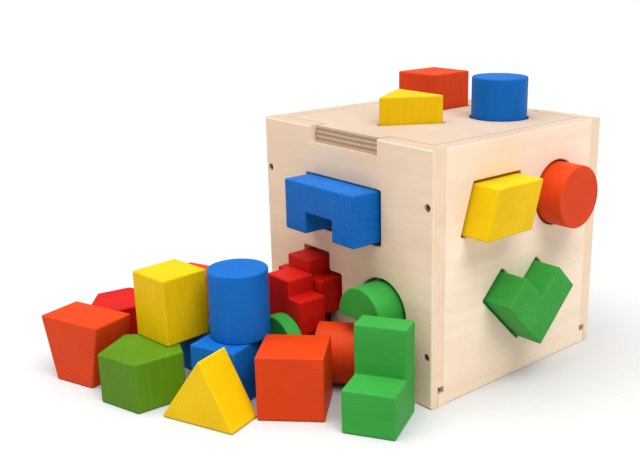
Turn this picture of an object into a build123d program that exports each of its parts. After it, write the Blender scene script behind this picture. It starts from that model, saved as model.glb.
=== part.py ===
"""Wooden shape sorter: a plywood cube with shaped holes, a lift-off lid and painted blocks.

Millimetres. The origin is the middle of the cube's underside, +X to the right along the front wall,
-Y out of the front wall, +Z up. Nine blocks stand part-way in the holes and sixteen lie loose in front.
"""
from build123d import *
import math
import os

# --- the cube
CUBE = 150.0            # outside edge of the cube
PLY = 10.0              # wall and lid thickness
HALF = CUBE / 2
INSIDE = HALF - PLY
BOTTOM_THICK = 8.0      # thickness of the bottom board
REBATE_DEPTH = 5.0      # rebate in the front and back walls that takes the bottom board
REBATE_HEIGHT = 12.0
EAR_GAP = 0.4           # slit between a side wall's ear and the rebate
EDGE_ROUND = 1.2        # rounding of the cube's outer edges
JOINT_EASE = 0.4        # small easing of edges that meet a neighbour

# --- finger notches and lid
NOTCH_WIDTH = 59.2
NOTCH_OFFSET = 1.0
NOTCH_ROUND = 1.2
LID_GAP = 0.6           # gap between lid and walls
TAB_GAP = 1.3           # gap at each end of a lid tab
TAB_SETBACK = 3.5       # how far a tab stays behind the wall's outer face

# --- screws
SCREW_INSET = 4.5       # screw axis to the side of the cube
SCREW_HEIGHTS = (31.0, 118.0)
SCREW_HEAD_RADIUS = 2.2
SCREW_HEAD_HEIGHT = 1.8
SCREW_SUNK = 1.6        # head below the surface
SCREW_SHANK_RADIUS = 1.25
SCREW_LENGTH = 18.0
SCREW_RECESS = 0.7      # depth of the driver's cross
HOLE_CLEAR = 0.15       # radial room round head and shank

# --- blocks
BLOCK_ROUND = 0.9       # rounding of a block's edges
BLOCK_LENGTH = 30.0     # usual length of a block along its axis
TALL_LENGTH = 38.0      # length of the square and the round block in the lid
TRIANGLE_LENGTH = 28.0
DISC_LENGTH = 28.0
HOLE_ROUND = 1.5        # corner radius of a sawn hole
LIP_EASE = 0.5          # easing of a hole's outer lip

BRIDGE = dict(width=62.4, height=30.6, gap=24.0, rise=13.0)
BRIDGE_HOLE = dict(width=67.6, height=33.6, gap=19.6, rise=11.4)
CROSS = dict(span=43.0, arm=21.5)
CROSS_HOLE = dict(span=47.6, arm=24.6)
HALF_ROUND = dict(radius=18.0, skirt=2.0)
HALF_ROUND_HOLE = dict(radius=20.5, skirt=2.6)
SLANT = dict(width=39.0, height=28.6, lean=9.0)
SLANT_HOLE = dict(width=41.6, height=31.2, lean=10.0)
DISC_RADIUS = 19.2
DISC_HOLE_RADIUS = 20.4
ANGLE = dict(leg=43.0, width=21.4)
ANGLE_HOLE = dict(leg=46.6, width=24.0)
TRIANGLE_SIDE = 40.8
TRIANGLE_HOLE_SIDE = 44.0
SQUARE = (32.2, 35.2)
SQUARE_HOLE = (34.2, 37.2)
PEG_RADIUS = 17.6
PEG_HOLE_RADIUS = 18.8

# holes of the walls that no block stands in
TRAPEZOID = dict(top=46.0, bottom=29.0, height=40.0)
TRAPEZOID_HOLE = dict(top=50.0, bottom=32.0, height=43.0)
PENTAGON_SIDE = 30.0
PENTAGON_HOLE_RADIUS = 27.6
HEXAGON_RADIUS = 21.0
HEXAGON_HOLE_RADIUS = 23.5
SLAB_HOLE = (34.0, 43.0)
STEP = dict(depth=36.0, height=55.5, tread=20.6, riser=25.6)
STEP_HOLE = dict(depth=39.0, height=58.5, tread=21.0, riser=26.0)
DOME = dict(radius=17.5, skirt=25.0)
DOME_HOLE = dict(radius=20.0, skirt=27.0)

# where each hole sits on its wall: (across, up), seen from outside
BRIDGE_AT = (-0.4, 104.2)
CROSS_AT = (-26.0, 50.0)
HALF_ROUND_AT = (33.5, 48.2)
SLANT_AT = (-27.5, 112.8)
DISC_AT = (32.4, 109.2)
ANGLE_AT = (-0.5, 22.0)
TRIANGLE_AT = (-0.1, -22.0)
SQUARE_AT = (-31.6, 33.6)
PEG_AT = (28.4, 31.3)
TRAPEZOID_AT = (-31.0, 87.0)
PENTAGON_AT = (32.0, 106.0)
SLAB_AT = (0.0, 44.0)
HEXAGON_AT = (-32.0, 106.0)
STEP_AT = (12.0, 78.0)
DOME_AT = (-32.0, 40.0)

# how far a block stands out of its hole, and how it is shifted inside it
BRIDGE_OUT, BRIDGE_SHIFT = 18.9, (0.5, 0.8)
CROSS_OUT, CROSS_SHIFT = 13.4, (-1.2, -1.1)
HALF_ROUND_OUT, HALF_ROUND_SHIFT = 17.0, (-0.5, 0.4)
SLANT_OUT, SLANT_SHIFT = 17.6, (0.2, -0.4)
DISC_OUT, DISC_SHIFT = 17.0, (0.4, -0.3)
ANGLE_OUT, ANGLE_SHIFT = 19.0, (-0.4, 2.2)
TRIANGLE_OUT = 16.9
SQUARE_OUT, SQUARE_TURN = 23.5, 2.0
PEG_OUT = 25.5

# outward-looking planes: local x across, local y up, local z out of the box
FRONT = Plane(origin=(0, -HALF, 0), x_dir=(1, 0, 0), z_dir=(0, -1, 0))
RIGHT = Plane(origin=(HALF, 0, 0), x_dir=(0, 1, 0), z_dir=(1, 0, 0))
BACK = Plane(origin=(0, HALF, 0), x_dir=(-1, 0, 0), z_dir=(0, 1, 0))
LEFT = Plane(origin=(-HALF, 0, 0), x_dir=(0, -1, 0), z_dir=(-1, 0, 0))
TOP = Plane(origin=(0, 0, CUBE), x_dir=(1, 0, 0), z_dir=(0, 0, 1))


# --- outlines, each in its own plane
def bridge(width, height, gap, rise):
    """A bar with a channel in its underside, centred on the bar."""
    return Rectangle(width, height) - Pos(0, (rise - height) / 2 - 1) * Rectangle(gap, rise + 2)


def cross(span, arm):
    """A plus sign with equal arms."""
    return Rectangle(span, arm) + Rectangle(arm, span)


def half_round(radius, skirt):
    """A half disc on a low straight skirt; its centre is the arc's."""
    arch = Circle(radius) - Pos(0, -radius) * Rectangle(2 * radius + 2, 2 * radius)
    return arch + Pos(0, -skirt / 2) * Rectangle(2 * radius, skirt)


def slant(width, height, lean):
    """A parallelogram whose top leans to the right."""
    x, y, s = width / 2, height / 2, lean / 2
    return Polygon((-x - s, -y), (x - s, -y), (x + s, y), (-x + s, y), align=None)


def angle(leg, width):
    """An L with equal legs that stands on its outer corner."""
    ell = Polygon((0, 0), (leg, 0), (leg, width), (width, width), (width, leg), (0, leg), align=None)
    return Rot(0, 0, 45) * ell


def triangle(side):
    """An equilateral triangle with one corner towards -y, centred."""
    return RegularPolygon(radius=side / math.sqrt(3), side_count=3, rotation=-90)


def trapezoid(top, bottom, height):
    """A symmetric trapezoid that stands on its short side."""
    return Polygon((-bottom / 2, 0), (bottom / 2, 0), (top / 2, height), (-top / 2, height), align=None)


def step(depth, height, tread, riser):
    """The side of a two-step stair; the lower step is on the left."""
    points = ((0, 0), (depth, 0), (depth, height), (tread, height), (tread, riser), (0, riser))
    return Polygon(*points, align=None)


def pentagon(side):
    """A regular pentagon with one side towards -y."""
    return RegularPolygon(radius=side / 2 / math.sin(math.pi / 5), side_count=5, rotation=90)


def sawn(outline):
    """An outline with the slightly rounded corners that a fretsaw leaves."""
    return fillet(outline.vertices(), HOLE_ROUND)


# --- solids
def rounded(block, radius=BLOCK_ROUND):
    """A block with all its edges rounded."""
    return fillet(block.edges(), radius)


def hole(plane, outline, at, depth=PLY):
    """The cutter of a hole through a wall, with an eased outer lip."""
    spot = plane * Pos(at[0], at[1], 0)
    through = spot * Pos(0, 0, -depth - 1) * extrude(outline, amount=depth + 2)
    flare = offset(outline, amount=LIP_EASE, kind=Kind.INTERSECTION)
    lip = spot * Pos(0, 0, -LIP_EASE / 2) * extrude(flare, amount=2)
    return through + lip


def plugged(plane, outline, at, shift, out, length=BLOCK_LENGTH, turn=0):
    """A block that stands part-way out of its hole."""
    block = rounded(extrude(outline, amount=length))
    return plane * Pos(at[0] + shift[0], at[1] + shift[1], out - length) * Rot(0, 0, turn) * block


def upright(outline, depth):
    """A block with its outline standing in the XZ plane, running back along +Y."""
    return rounded(extrude(Plane.XZ * outline, amount=-depth))


def place(block, x, y, z=0, turn=0):
    """Set a block down at a point, turned about the vertical."""
    return Pos(x, y, z) * Rot(0, 0, turn) * block


def screw():
    """A cheese-head wood screw along -z, head top at z = 0, with a driver's cross."""
    head = Pos(0, 0, -SCREW_HEAD_HEIGHT / 2) * Cylinder(SCREW_HEAD_RADIUS, SCREW_HEAD_HEIGHT)
    body_length = SCREW_LENGTH - SCREW_HEAD_HEIGHT - 3
    body = Pos(0, 0, -SCREW_HEAD_HEIGHT - body_length / 2) * Cylinder(SCREW_SHANK_RADIUS, body_length)
    tip = Pos(0, 0, -SCREW_LENGTH + 1.5) * Rot(180, 0, 0) * Cone(SCREW_SHANK_RADIUS, 0.3, 3)
    slot = Box(2.6, 0.6, 2 * SCREW_RECESS) + Box(0.6, 2.6, 2 * SCREW_RECESS)
    return head + body + tip - slot


def screw_bore(depth):
    """Room for a sunk screw: a counterbore for the head and a pilot for the shank."""
    sunk = SCREW_SUNK + SCREW_HEAD_HEIGHT + 0.1
    head = Pos(0, 0, 1 - (sunk + 1) / 2) * Cylinder(SCREW_HEAD_RADIUS + HOLE_CLEAR, sunk + 1)
    pilot = Pos(0, 0, -depth / 2) * Cylinder(SCREW_SHANK_RADIUS + HOLE_CLEAR, depth)
    return head + pilot


WALL_SCREWS = [Pos(side * (HALF - SCREW_INSET), up, 0) for side in (-1, 1) for up in SCREW_HEIGHTS]


def screws(plane, spots):
    """One group of identical screws sunk into a face."""
    return Compound([plane * spot * Pos(0, 0, -SCREW_SUNK) * screw() for spot in spots])


def bores(plane, spots):
    """The cutters for the same group of screws."""
    return [plane * spot * screw_bore(SCREW_SUNK + SCREW_LENGTH + 0.5) for spot in spots]


def long_wall(plane):
    """The front or back wall: full width, notched at the top, rebated along the bottom."""
    wall = plane * Pos(0, HALF, -PLY / 2) * Box(CUBE, CUBE, PLY)
    outer = wall.faces().sort_by(Axis(plane.origin, plane.z_dir))[-1]
    wall = fillet(outer.edges(), EDGE_ROUND)
    cut = Rectangle(NOTCH_WIDTH, 2 * PLY)
    cut = fillet(cut.vertices(), NOTCH_ROUND)
    offset_x = NOTCH_OFFSET * plane.x_dir.X
    notch = plane * Pos(offset_x, CUBE, -PLY - 1) * extrude(cut, amount=PLY + 2)
    rebate = plane * Pos(0, REBATE_HEIGHT / 2, -PLY + REBATE_DEPTH / 2)
    rebate = rebate * Box(CUBE + 2, REBATE_HEIGHT, REBATE_DEPTH)
    return wall - notch - rebate


def side_wall(plane):
    """The left or right wall: between the long walls, with an ear in each rebate."""
    wall = plane * Pos(0, HALF, -PLY / 2) * Box(2 * INSIDE, CUBE, PLY)
    rims = wall.faces().sort_by(Axis(plane.origin, plane.z_dir))[-1].edges()
    wall = fillet(rims.filter_by(Plane.XY), JOINT_EASE)
    ear_width = REBATE_DEPTH - EAR_GAP
    for side in (-1, 1):
        ear = Pos(side * (INSIDE + ear_width / 2), BOTTOM_THICK / 2, -PLY / 2)
        wall += plane * ear * Box(ear_width, BOTTOM_THICK, PLY)
    return wall


def cut_all(body, cutters):
    """Take a list of cutters out of a body."""
    for cutter in cutters:
        body -= cutter
    return body


def make_box():
    """The five fixed walls and their screws."""
    front_holes = [
        hole(FRONT, sawn(bridge(**BRIDGE_HOLE)), BRIDGE_AT),
        hole(FRONT, sawn(cross(**CROSS_HOLE)), CROSS_AT),
        hole(FRONT, sawn(half_round(**HALF_ROUND_HOLE)), HALF_ROUND_AT),
    ]
    right_holes = [
        hole(RIGHT, sawn(slant(**SLANT_HOLE)), SLANT_AT),
        hole(RIGHT, Circle(DISC_HOLE_RADIUS), DISC_AT),
        hole(RIGHT, sawn(angle(**ANGLE_HOLE)), ANGLE_AT),
    ]
    left_holes = [
        hole(LEFT, sawn(trapezoid(**TRAPEZOID_HOLE)), TRAPEZOID_AT),
        hole(LEFT, sawn(RegularPolygon(PENTAGON_HOLE_RADIUS, 5, rotation=90)), PENTAGON_AT),
        hole(LEFT, sawn(Rectangle(*SLAB_HOLE)), SLAB_AT),
    ]
    back_holes = [
        hole(BACK, sawn(RegularPolygon(HEXAGON_HOLE_RADIUS, 6)), HEXAGON_AT),
        hole(BACK, sawn(step(**STEP_HOLE)), STEP_AT),
        hole(BACK, sawn(half_round(**DOME_HOLE)), DOME_AT),
    ]
    front_bores, back_bores = bores(FRONT, WALL_SCREWS), bores(BACK, WALL_SCREWS)
    wall_bores = front_bores + back_bores
    bottom = Pos(0, 0, BOTTOM_THICK / 2) * Box(2 * INSIDE, 2 * (INSIDE + REBATE_DEPTH), BOTTOM_THICK)
    return {
        "bottom_board": bottom,
        "front_wall": cut_all(long_wall(FRONT), front_holes + front_bores),
        "back_wall": cut_all(long_wall(BACK), back_holes + back_bores),
        "left_wall": cut_all(side_wall(LEFT), left_holes + wall_bores),
        "right_wall": cut_all(side_wall(RIGHT), right_holes + wall_bores),
        "front_screws": screws(FRONT, WALL_SCREWS),
        "back_screws": screws(BACK, WALL_SCREWS),
    }


def make_lid():
    """The lift-off lid: a board with three holes and two tabs that rest in the finger notches."""
    side = 2 * (INSIDE - LID_GAP)
    board = Rectangle(side, side)
    tab_width = NOTCH_WIDTH - 2 * TAB_GAP
    board += Pos(NOTCH_OFFSET, 0) * Rectangle(tab_width, 2 * (HALF - TAB_SETBACK))
    lid = Pos(0, 0, CUBE - PLY) * extrude(board, amount=PLY)
    top = lid.faces().sort_by(Axis.Z)[-1]
    lid = fillet(top.edges(), JOINT_EASE)
    holes = [
        hole(TOP, sawn(triangle(TRIANGLE_HOLE_SIDE)), TRIANGLE_AT),
        hole(TOP, Rot(0, 0, SQUARE_TURN) * sawn(Rectangle(*SQUARE_HOLE)), SQUARE_AT),
        hole(TOP, Circle(PEG_HOLE_RADIUS), PEG_AT),
    ]
    return cut_all(lid, holes)


def make_plugged_blocks():
    """The nine blocks that stand in the holes of the lid, the front wall and the right wall."""
    none = (0, 0)
    return {
        "yellow_triangle_block": plugged(
            TOP, triangle(TRIANGLE_SIDE), TRIANGLE_AT, none, TRIANGLE_OUT, TRIANGLE_LENGTH),
        "orange_square_block": plugged(
            TOP, Rectangle(*SQUARE), SQUARE_AT, none, SQUARE_OUT, TALL_LENGTH, SQUARE_TURN),
        "blue_peg_block": plugged(TOP, Circle(PEG_RADIUS), PEG_AT, none, PEG_OUT, TALL_LENGTH),
        "blue_bridge_block": plugged(FRONT, bridge(**BRIDGE), BRIDGE_AT, BRIDGE_SHIFT, BRIDGE_OUT),
        "red_cross_block": plugged(FRONT, cross(**CROSS), CROSS_AT, CROSS_SHIFT, CROSS_OUT),
        "green_half_round_block": plugged(
            FRONT, half_round(**HALF_ROUND), HALF_ROUND_AT, HALF_ROUND_SHIFT, HALF_ROUND_OUT),
        "yellow_slant_block": plugged(RIGHT, slant(**SLANT), SLANT_AT, SLANT_SHIFT, SLANT_OUT),
        "orange_disc_block": plugged(
            RIGHT, Circle(DISC_RADIUS), DISC_AT, DISC_SHIFT, DISC_OUT, DISC_LENGTH),
        "green_angle_block": plugged(RIGHT, angle(**ANGLE), ANGLE_AT, ANGLE_SHIFT, ANGLE_OUT),
    }


# --- the loose pile, each block at (x, y, z, turn); z is the height it rests at
LOW_HEIGHT = 30.0       # height of the blocks that carry another one
TRAPEZOID_PLACE = (-97.7, -206.5, 0, 18)
HEXAGON_PLACE = (-117.0, -161.0, 0, 22)
HEXAGON_HEIGHT = 38.0
PENTAGON_PLACE = (-54.8, -181.8, 0, 14.5)
SQUARE_PLACE = (-60.7, -158.2, LOW_HEIGHT, 5.6)
SQUARE_POST = (30.4, 30.4, 40.5)
WEDGE_PLACE = (-1.2, -181.4, 0, 20)
WEDGE = dict(width=49.0, height=39.4, lean=3.9)
WEDGE_LENGTH = 23.7
SLAB_PLACE = (-20.6, -145.5, 0, 20)
SLAB = (30.6, 33.0, 35.0)
TALL_PEG_PLACE = (-22.3, -135.9, SLAB[2], 0)
TALL_PEG_RADIUS = 17.5
TALL_PEG_HEIGHT = 41.0
CUBE_PLACE = (19.3, -128.7, 0, 43.3)
CUBE_BLOCK = (38.0, 33.5, 38.2)
ROLL_PLACE = (11.6, -86.2, 0, 38)
ROLL_RADIUS = 19.3
ROLL_LENGTH = 29.0
STEP_PLACE = (73.4, -121.5, 0, 29)
STEP_WIDTH = 30.8
PROP = (20.5, 17.6, 20.4)    # the hidden block that the loose cross stands on
PROP_PLACE = (-22.5, -98.6, 0, 0)
LOOSE_CROSS_PLACE = (-22.5, -108.0, PROP[2], 0)
LOOSE_CROSS_LENGTH = 19.0
ARCH_PLACE = (-14.5, -117.8, 0, 0)
ARCH_LENGTH = 9.4
HIDDEN_SLAB_PLACE = (-76.0, -132.0, 0, 8)
HIDDEN_SLAB = (34.0, 30.0, LOW_HEIGHT)
HIDDEN_PRISM_PLACE = (-84.0, -127.0, LOW_HEIGHT, 20)
HIDDEN_PRISM = (28.0, 24.0, 27.0)
YELLOW_SLANT_PLACE = (-66.0, -92.2, 0, 0)
YELLOW_SLANT_HEIGHT = 28.4


def wedge(width, height, lean):
    """A triangle that stands on its widest side, its top a little to the right."""
    return Polygon((-width / 2, 0), (width / 2, 0), (lean, height), align=None)


def bar(size):
    """A rectangular block that stands on z = 0."""
    return rounded(extrude(Rectangle(size[0], size[1]), amount=size[2]))


def make_loose_blocks():
    """The loose blocks, named by colour and shape."""
    centred_step = Pos(-STEP["depth"] / 2, 0) * step(**STEP)
    stair = Rot(0, 0, 90) * Pos(0, -STEP_WIDTH / 2, 0) * upright(centred_step, STEP_WIDTH)
    stair = Pos(0, STEP["depth"] / 2, 0) * stair
    half_roll = Pos(0, ROLL_RADIUS) * (Circle(ROLL_RADIUS) - Pos(ROLL_RADIUS, 0) * Rectangle(
        2 * ROLL_RADIUS, 2 * ROLL_RADIUS + 2))
    roll = Rot(0, 0, 90) * Pos(0, -ROLL_LENGTH / 2, 0) * upright(half_roll, ROLL_LENGTH)
    standing_cross = Pos(0, CROSS["span"] / 2) * cross(**CROSS)
    arch = Pos(0, DOME["skirt"]) * half_round(**DOME)
    pillar = rounded(extrude(Circle(TALL_PEG_RADIUS), amount=TALL_PEG_HEIGHT))
    hexagon = rounded(extrude(RegularPolygon(HEXAGON_RADIUS, 6), amount=HEXAGON_HEIGHT))
    five_sided = rounded(extrude(pentagon(PENTAGON_SIDE), amount=LOW_HEIGHT))
    diamond = rounded(extrude(slant(**SLANT), amount=YELLOW_SLANT_HEIGHT))
    return {
        "orange_trapezoid_loose": place(upright(trapezoid(**TRAPEZOID), DISC_LENGTH), *TRAPEZOID_PLACE),
        "red_hexagon_loose": place(hexagon, *HEXAGON_PLACE),
        "yellow_square_loose": place(bar(SQUARE_POST), *SQUARE_PLACE),
        "green_pentagon_loose": place(five_sided, *PENTAGON_PLACE),
        "yellow_triangle_loose": place(upright(wedge(**WEDGE), WEDGE_LENGTH), *WEDGE_PLACE),
        "blue_peg_loose": place(pillar, *TALL_PEG_PLACE),
        "blue_slab_loose": place(bar(SLAB), *SLAB_PLACE),
        "orange_cube_loose": place(bar(CUBE_BLOCK), *CUBE_PLACE),
        "orange_half_round_loose": place(roll, *ROLL_PLACE),
        "green_step_loose": place(stair, *STEP_PLACE),
        "red_cross_loose": place(upright(standing_cross, LOOSE_CROSS_LENGTH), *LOOSE_CROSS_PLACE),
        "green_block_loose": place(bar(PROP), *PROP_PLACE),
        "green_arch_loose": place(upright(arch, ARCH_LENGTH), *ARCH_PLACE),
        "yellow_slant_loose": place(diamond, *YELLOW_SLANT_PLACE),
        "blue_block_loose": place(bar(HIDDEN_SLAB), *HIDDEN_SLAB_PLACE),
        "orange_block_loose": place(bar(HIDDEN_PRISM), *HIDDEN_PRISM_PLACE),
    }


def main():
    nodes = make_box()
    nodes["lid"] = make_lid()
    nodes.update(make_plugged_blocks())
    nodes.update(make_loose_blocks())
    os.makedirs("parts", exist_ok=True)
    for name, shape in nodes.items():
        export_step(shape, f"parts/{name}.step")


main()
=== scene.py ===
"""Looks for the wooden shape sorter: birch plywood, stained blocks, browned screws, soft studio light."""
import math
import bpy
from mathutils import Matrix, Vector


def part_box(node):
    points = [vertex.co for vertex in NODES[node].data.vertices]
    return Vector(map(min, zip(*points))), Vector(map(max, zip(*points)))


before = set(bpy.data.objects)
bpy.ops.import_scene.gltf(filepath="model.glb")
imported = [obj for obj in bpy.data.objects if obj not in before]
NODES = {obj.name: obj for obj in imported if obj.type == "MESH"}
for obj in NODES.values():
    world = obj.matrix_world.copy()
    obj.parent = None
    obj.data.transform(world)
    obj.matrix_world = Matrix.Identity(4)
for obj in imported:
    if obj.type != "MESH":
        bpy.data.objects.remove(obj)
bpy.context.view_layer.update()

PLY = 0.010                 # board thickness
PLIES = 7                   # veneers in a board
HALF = 0.075                # half the cube's side
RINGS = 300.0               # growth rings in a metre of a block's wood
RELIEF = 0.00025            # depth of the wood's grain and of the other bumps
EASED = 0.0014              # how far the stained blocks look rounded over at their edges
PAINTED_TOP_SHADE = 0.66              # how much of their tone the boards keep where they look up, as painted shade on their upward faces


# --- colours, given as screen values and turned into scene-linear ones
def colour(red, green, blue):
    """A colour on a 0-255 screen scale as a linear RGBA."""
    linear = [c / 255 / 12.92 if c <= 10 else ((c / 255 + 0.055) / 1.055) ** 2.4 for c in (red, green, blue)]
    return (*linear, 1.0)


BIRCH = {
    "front_wall": colour(234, 209, 181),
    "right_wall": colour(241, 220, 196),
    "back_wall": colour(236, 212, 184),
    "left_wall": colour(240, 218, 193),
    "lid": colour(232, 208, 184),
    "bottom_board": colour(226, 203, 176),
}
STAINS = {
    "yellow": colour(222, 181, 0),
    "orange": colour(205, 60, 12),
    "red": colour(186, 18, 10),
    "blue": colour(6, 96, 176),
    "green": colour(52, 148, 58),
    "olive": colour(82, 127, 18),
}


class Shader:
    """A few short words for wiring a shader."""

    def __init__(self, name):
        self.material = bpy.data.materials.new(name)
        self.material.use_nodes = True
        self.tree = self.material.node_tree
        self.tree.nodes.clear()

    def add(self, kind, settings=None, **inputs):
        """Add a node; inputs are constants or outputs, named with _ for a space or numbered i0, i1, i2."""
        node = self.tree.nodes.new(kind)
        for key, value in (settings or {}).items():
            setattr(node, key, value)
        for key, value in inputs.items():
            name = key.replace("_", " ")
            socket = node.inputs[int(key[1:])] if key[0] == "i" and key[1:].isdigit() else node.inputs[name]
            if isinstance(value, bpy.types.NodeSocket):
                self.tree.links.new(value, socket)
            else:
                socket.default_value = value
        return node

    def math(self, operation, a, b=0.0, c=0.0):
        """One sum on up to three values."""
        node = self.add("ShaderNodeMath", {"operation": operation}, i0=a, i1=b, i2=c)
        return node.outputs[0]

    def noise(self, vector, detail=3.0, roughness=0.5, distortion=0.0):
        """Noise with features one unit across in the stretched coordinates."""
        node = self.add("ShaderNodeTexNoise", Vector=vector, Scale=1.0, Detail=detail,
                        Roughness=roughness, Distortion=distortion)
        return node.outputs["Fac"]

    def ramp(self, value, low, high, to_low=0.0, to_high=1.0):
        """Map a range of a value onto another, smoothly and clamped."""
        node = self.add("ShaderNodeMapRange", {"interpolation_type": "SMOOTHSTEP"}, Value=value,
                        From_Min=low, From_Max=high, To_Min=to_low, To_Max=to_high)
        return node.outputs[0]

    def mix(self, factor, a, b, blend="MIX"):
        """Blend two colours."""
        node = self.add("ShaderNodeMix", {"data_type": "RGBA", "blend_type": blend})
        for socket, value in ((node.inputs[0], factor), (node.inputs[6], a), (node.inputs[7], b)):
            if isinstance(value, bpy.types.NodeSocket):
                self.tree.links.new(value, socket)
            else:
                socket.default_value = value
        return node.outputs[2]

    def stretched(self, scales, turn=(0.0, 0.0, 0.0), shift=(0.0, 0.0, 0.0)):
        """Object coordinates, moved, turned and stretched."""
        coordinates = self.add("ShaderNodeTexCoord").outputs["Object"]
        moved = self.add("ShaderNodeMapping", Vector=coordinates, Location=shift).outputs[0]
        turned = self.add("ShaderNodeMapping", Vector=moved, Rotation=turn).outputs[0]
        return self.add("ShaderNodeMapping", Vector=turned, Scale=scales).outputs[0]

    def edge_wear_and_highlight(self, radius):
        """Normals rounded over the edges, and a mask that is 1 where they turn most."""
        rounded = self.add("ShaderNodeBevel", {"samples": 6}, Radius=radius).outputs[0]
        flat = self.add("ShaderNodeNewGeometry").outputs["True Normal"]
        dot = self.add("ShaderNodeVectorMath", {"operation": "DOT_PRODUCT"}, i0=rounded, i1=flat)
        return rounded, self.ramp(dot.outputs["Value"], 0.80, 0.97, 1.0, 0.0)

    def finish(self, base, roughness, height, strength, coat=0.0, normal=None):
        """Close the shader with a bump and a surface, and give back its material."""
        bump = self.add("ShaderNodeBump", Height=height, Strength=strength, Distance=RELIEF)
        if normal:
            self.tree.links.new(normal, bump.inputs["Normal"])
        surface = self.add("ShaderNodeBsdfPrincipled", Base_Color=base, Roughness=roughness, Coat_Weight=coat,
                           Coat_Roughness=0.35, Specular_IOR_Level=0.10, Normal=bump.outputs[0])
        output = self.add("ShaderNodeOutputMaterial")
        self.tree.links.new(surface.outputs[0], output.inputs[0])
        return self.material


def axis_stretch(axis, across, along):
    """Scales that are fine across an axis and coarse along it."""
    return [along if i == axis else across for i in range(3)]


def plywood(name, face, thickness_axis, grain_axis, start, seed):
    """Birch plywood: quiet rotary-cut figure on its faces, layered veneers on its edges."""
    s = Shader(name)
    shift = (seed * 0.37, seed * 0.23, seed * 0.11)

    # faces: long soft figure, fine fibres, a few warm and pale patches
    figure = s.noise(s.stretched(axis_stretch(grain_axis, 95, 9), shift=shift), 4.0, 0.55, 0.6)
    fibres = s.noise(s.stretched(axis_stretch(grain_axis, 1500, 60), shift=shift), 2.0, 0.6)
    patches = s.noise(s.stretched((14, 14, 14), shift=shift), 2.0, 0.5)
    flecks = s.noise(s.stretched(axis_stretch(grain_axis, 700, 130), shift=shift), 1.0, 0.5)
    warm = (face[0] * 0.90, face[1] * 0.80, face[2] * 0.68, 1)
    pale = (min(1, face[0] * 1.06), min(1, face[1] * 1.07), min(1, face[2] * 1.10), 1)
    wood = s.mix(s.ramp(figure, 0.36, 0.70), pale, face)
    wood = s.mix(s.math("MULTIPLY", s.ramp(patches, 0.45, 0.75), 0.42), wood, warm)
    wood = s.mix(s.math("MULTIPLY", s.ramp(fibres, 0.50, 0.80), 0.20), wood, warm)
    wood = s.mix(s.math("MULTIPLY", s.ramp(flecks, 0.66, 0.78), 0.07), wood, (0.42, 0.27, 0.15, 1))

    # painted shade: what looks up is darkened, so the boards' upward faces come out less bright under the top
    # light
    normal = s.add("ShaderNodeSeparateXYZ", Vector=s.add("ShaderNodeTexCoord").outputs["Normal"])
    painted_top_shade = s.ramp(normal.outputs[2], 0.5, 0.9, 1.0, PAINTED_TOP_SHADE)
    wood = s.mix(1.0, wood, painted_top_shade, "MULTIPLY")

    # edges: seven veneers, every second one showing its end grain, with thin glue lines
    place = s.add("ShaderNodeSeparateXYZ", Vector=s.add("ShaderNodeTexCoord").outputs["Object"])
    wander = s.noise(s.stretched((60, 60, 60), shift=shift), 2.0, 0.5)
    depth = s.math("MULTIPLY_ADD", place.outputs[thickness_axis], PLIES / PLY, -start * PLIES / PLY)
    depth = s.math("ADD", depth, s.math("MULTIPLY_ADD", wander, 0.24, -0.12))
    odd = s.math("GREATER_THAN", s.math("MODULO", s.math("ADD", depth, 20.0), 2.0), 1.0)
    within = s.math("FRACT", s.math("ADD", depth, 20.0))
    glue = s.math("MULTIPLY", s.ramp(within, 0.0, 0.16, 1.0, 0.0), 0.75)
    streaks = s.noise(s.stretched(axis_stretch(thickness_axis, 420, 2600), shift=shift), 3.0, 0.6)
    pores = s.noise(s.stretched((2300, 2300, 2300), shift=shift), 2.0, 0.6)
    end_grain = s.mix(s.ramp(pores, 0.35, 0.7), (face[0] * 0.80, face[1] * 0.66, face[2] * 0.54, 1),
                      (face[0] * 0.52, face[1] * 0.38, face[2] * 0.27, 1))
    long_grain = s.mix(s.ramp(streaks, 0.3, 0.75), pale, (face[0] * 0.86, face[1] * 0.75, face[2] * 0.64, 1))
    layers = s.mix(odd, long_grain, end_grain)
    layers = s.mix(glue, layers, (0.23, 0.14, 0.085, 1))

    # the same painted shade on the veneers where they look up
    layers = s.mix(1.0, layers, painted_top_shade, "MULTIPLY")

    # the eased border between face and edge keeps the face's veneer
    facing = s.math("ABSOLUTE", normal.outputs[thickness_axis])
    on_edge = s.ramp(facing, 0.35, 0.6, 1.0, 0.0)
    eased = s.math("MULTIPLY", s.ramp(facing, 0.25, 0.5), s.ramp(facing, 0.90, 0.98, 1.0, 0.0))
    return s, wood, layers, on_edge, eased, glue, fibres, figure


def board(name, face, thickness_axis, grain_axis, start, seed, edge_show, edge_tone, gap_shade):
    """Finish a board; edge_show is how clear its sawn veneers are, the last argument how dark the painted
    shade on its eased borders is.
    """
    s, wood, layers, on_edge, eased, glue, fibres, figure = plywood(
        name, face, thickness_axis, grain_axis, start, seed)
    layers = s.mix(1.0, layers, edge_tone, "MULTIPLY")
    base = s.mix(s.math("MULTIPLY", on_edge, edge_show), wood, layers)
    # painted shade: the eased borders go dark brown, standing in for the shade in the lid's gaps and at its
    # hole rims
    base = s.mix(s.math("MULTIPLY", eased, gap_shade), base, (0.20, 0.13, 0.08, 1))
    roughness = s.ramp(fibres, 0.2, 0.8, 0.46, 0.62)
    height = s.math("MULTIPLY_ADD", fibres, 0.6, s.math("MULTIPLY", figure, 0.4))
    height = s.math("SUBTRACT", height, s.math("MULTIPLY", s.math("MULTIPLY", glue, on_edge), 0.9))
    return s.finish(base, roughness, height, 0.30)


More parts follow.
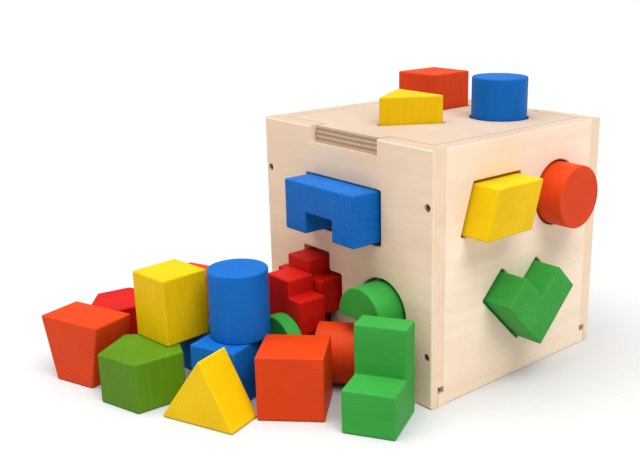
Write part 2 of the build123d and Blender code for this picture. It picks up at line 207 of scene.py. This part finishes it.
def stained(name, tint, grain, pith, seed, show):
    """Solid wood under a satin stain: growth rings and fibres show through, darker where they are dense."""
    s = Shader(name)
    direction = Vector(grain).normalized()
    turn = direction.rotation_difference(Vector((0, 0, 1))).to_euler()
    shift = (seed * 0.031 + pith[0], seed * 0.017 + pith[1], seed * 0.023)
    beside = s.stretched((1, 1, 1), turn=turn, shift=shift)
    wobble = s.noise(s.stretched((34, 34, 7), turn=turn, shift=shift), 3.0, 0.55)
    place = s.add("ShaderNodeSeparateXYZ", Vector=beside)
    radius = s.math("SQRT", s.math("ADD", s.math("POWER", place.outputs[0], 2.0),
                                   s.math("POWER", place.outputs[1], 2.0)))
    turns = s.math("MULTIPLY", s.math("MULTIPLY_ADD", wobble, 0.030, radius), RINGS)
    within = s.math("FRACT", turns)
    late = s.math("MULTIPLY", s.ramp(within, 0.35, 0.92), s.ramp(within, 0.92, 1.0, 1.0, 0.0))
    fibres = s.noise(s.stretched((1500, 1500, 55), turn=turn, shift=shift), 3.0, 0.6)
    cloud = s.noise(s.stretched((38, 38, 20), turn=turn, shift=shift), 3.0, 0.5)
    mottle = s.noise(s.stretched((420, 420, 420), shift=shift), 2.0, 0.6)
    dark = tuple(tint[i] * (0.76, 0.66, 0.60)[i] for i in range(3)) + (1,)
    light = tuple(min(1.0, tint[i] * 1.12 + 0.003) for i in range(3)) + (1,)
    base = s.mix(s.ramp(cloud, 0.3, 0.7), tint, light)
    base = s.mix(s.math("MULTIPLY", late, show), base, dark)
    base = s.mix(s.math("MULTIPLY", s.ramp(fibres, 0.46, 0.82), 0.16), base, dark)
    base = s.mix(s.math("MULTIPLY", s.ramp(mottle, 0.58, 0.80), 0.22), base, light)
    # lighter along the edges: partly stain gone thin by wear, partly a painted highlight on the rounded-over
    # edges
    rounded, worn_and_highlit = s.edge_wear_and_highlight(EASED)
    rubbed_and_highlit = tuple(min(1.0, tint[i] * 1.3 + 0.01) for i in range(3)) + (1,)
    base = s.mix(s.math("MULTIPLY", worn_and_highlit, 0.35), base, rubbed_and_highlit)
    roughness = s.ramp(fibres, 0.2, 0.8, 0.40, 0.58)
    height = s.math("SUBTRACT", s.math("MULTIPLY", mottle, 0.5),
                    s.math("ADD", s.math("MULTIPLY", late, 2.0 * show), s.math("MULTIPLY", fibres, 0.5)))
    return s.finish(base, roughness, height, 0.30, 0.02, rounded)


def browned_steel(name):
    """A browned screw: dull metal with brighter spots of wear."""
    s = Shader(name)
    wear = s.noise(s.stretched((900, 900, 900)), 3.0, 0.6)
    base = s.mix(s.ramp(wear, 0.45, 0.7), (0.11, 0.075, 0.05, 1), (0.36, 0.28, 0.20, 1))
    material = s.finish(base, s.ramp(wear, 0.3, 0.7, 0.55, 0.32), wear, 0.32)
    surface = next(n for n in material.node_tree.nodes if n.type == "BSDF_PRINCIPLED")
    surface.inputs["Metallic"].default_value = 0.85
    return material


def paper(name):
    """The studio floor: matt white with a barely visible tooth."""
    s = Shader(name)
    tooth = s.noise(s.stretched((180, 180, 180)), 2.0, 0.5)
    base = s.mix(tooth, (0.585, 0.585, 0.585, 1), (0.61, 0.61, 0.61, 1))
    return s.finish(base, s.ramp(tooth, 0.2, 0.8, 0.85, 0.95), tooth, 0.04)


def dress(node, material):
    """Give a CAD node one material."""
    slots = NODES[node].data.materials
    slots.clear()
    slots.append(material)


# --- boards: (node, thickness axis, grain axis, first veneer's start, how the edges show, their tone, painted shade on the eased borders)
PLAIN_EDGE = (1.0, 1.0, 1.0, 1)
GREY_EDGE = (0.72, 0.74, 0.72, 1)
BOARDS = [
    ("front_wall", 1, 0, -HALF, 0.12, PLAIN_EDGE, 0.0),
    ("back_wall", 1, 0, HALF - PLY, 0.12, PLAIN_EDGE, 0.0),
    ("left_wall", 0, 1, -HALF, 0.30, PLAIN_EDGE, 0.0),
    ("right_wall", 0, 1, HALF - PLY, 0.30, PLAIN_EDGE, 0.0),
    ("lid", 2, 0, 0.140, 1.0, GREY_EDGE, 0.75),
    ("bottom_board", 2, 0, 0.0, 0.80, PLAIN_EDGE, 0.0),
]
for number, (node, *layout, show, tone, gap_shade) in enumerate(BOARDS):
    dress(node, board(f"birch {node}", BIRCH[node], *layout, number + 1, show, tone, gap_shade))

steel = browned_steel("browned steel")
for node in ("front_screws", "back_screws"):
    dress(node, steel)

# --- blocks, and the way the grain runs in each
UPRIGHT, ACROSS, ALONG = (0, 0, 1), (1, 0, 0), (0, 1, 0)
GRAIN = {
    "yellow_triangle_block": UPRIGHT, "orange_square_block": UPRIGHT, "blue_peg_block": UPRIGHT,
    "blue_bridge_block": (0.1, -1, 0), "red_cross_block": ALONG, "green_half_round_block": ALONG,
    "yellow_slant_block": ACROSS, "orange_disc_block": ACROSS, "green_angle_block": (1, 0, 0.1),
    "orange_trapezoid_loose": (0.31, 0.95, 0), "red_hexagon_loose": UPRIGHT,
    "yellow_square_loose": UPRIGHT, "green_pentagon_loose": UPRIGHT,
    "yellow_triangle_loose": (-0.34, 0.94, 0), "blue_peg_loose": UPRIGHT, "blue_slab_loose": UPRIGHT,
    "orange_cube_loose": (0.7, 0.7, 0), "orange_half_round_loose": (0.8, 0.6, 0),
    "green_step_loose": (0.87, 0.48, 0), "red_cross_loose": ALONG, "green_arch_loose": ALONG,
    "yellow_slant_loose": UPRIGHT, "blue_block_loose": UPRIGHT, "orange_block_loose": UPRIGHT,
    "green_block_loose": UPRIGHT,
}
SHOW = 0.10                 # how strongly the growth rings show, unless SHOWS says otherwise
PITH_AWAY = 0.05            # from a block's middle to the middle of its tree, in metres
PITH_TURN = 2.4             # radians from one block's pith direction to the next one's
SHOWS = {"blue_bridge_block": 0.34, "green_angle_block": 0.26, "yellow_square_loose": 0.16,
         "green_half_round_block": 0.20, "green_pentagon_loose": 0.18, "yellow_slant_block": 0.05}
for number, (node, grain) in enumerate(GRAIN.items()):
    low, high = (Vector(corner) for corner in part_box(node))
    middle = (low + high) / 2
    tint = "olive" if "pentagon" in node else node.split("_")[0]
    angle = number * PITH_TURN
    pith = (PITH_AWAY * math.cos(angle) - middle.x, PITH_AWAY * math.sin(angle) - middle.y)
    dress(node, stained(f"{tint} stain {node}", STAINS[tint], grain, pith, number % 7, SHOWS.get(node, SHOW)))

# --- floor, light and camera
bpy.ops.mesh.primitive_plane_add(size=60, location=(0, 0, -0.0002))
floor = bpy.context.object
floor.name = "floor"
floor.data.materials.append(paper("studio paper"))


def soft_sun(name, towards, strength, spread):
    """A very large distant soft box, shining from a direction."""
    light = bpy.data.lights.new(name, "SUN")
    light.energy, light.angle = strength, math.radians(spread)
    lamp = bpy.data.objects.new(name, light)
    bpy.context.collection.objects.link(lamp)
    lamp.rotation_euler = Vector(towards).to_track_quat("Z", "Y").to_euler()


# name, direction it shines from, strength, spread in degrees
soft_sun("right box", (0.75, -0.10, 1.30), 2.10, 40)
soft_sun("front box", (-0.35, -0.50, 1.30), 1.60, 50)
soft_sun("top box", (0.05, -0.05, 1.0), 1.00, 60)

world = bpy.data.worlds.new("studio")
bpy.context.scene.world = world
world.use_nodes = True
background = world.node_tree.nodes["Background"]
background.inputs[0].default_value = (1, 1, 1, 1)
# the studio's far wall is seen white, though it lights the object only softly
seen = world.node_tree.nodes.new("ShaderNodeLightPath").outputs["Is Camera Ray"]
glow = world.node_tree.nodes.new("ShaderNodeMath")
glow.operation = "MULTIPLY_ADD"
FILL = 0.40                 # strength of the light that comes from all round
glow.inputs[1].default_value, glow.inputs[2].default_value = 1 - FILL, FILL
world.node_tree.links.new(seen, glow.inputs[0])
world.node_tree.links.new(glow.outputs[0], background.inputs[1])

bpy.context.scene.view_settings.view_transform = "Standard"

lens = bpy.data.cameras.new("camera")
lens.lens = 51.94
lens.sensor_width = 36
lens.shift_x = -0.125
lens.clip_start, lens.clip_end = 0.01, 100
camera = bpy.data.objects.new("camera", lens)
bpy.context.collection.objects.link(camera)
camera.location = (0.40578, -0.41486, 0.24684)
aim = Vector((-0.01401, -0.01470, 0.07043))
camera.rotation_euler = (aim - camera.location).to_track_quat("-Z", "Y").to_euler()
bpy.context.scene.camera = camera
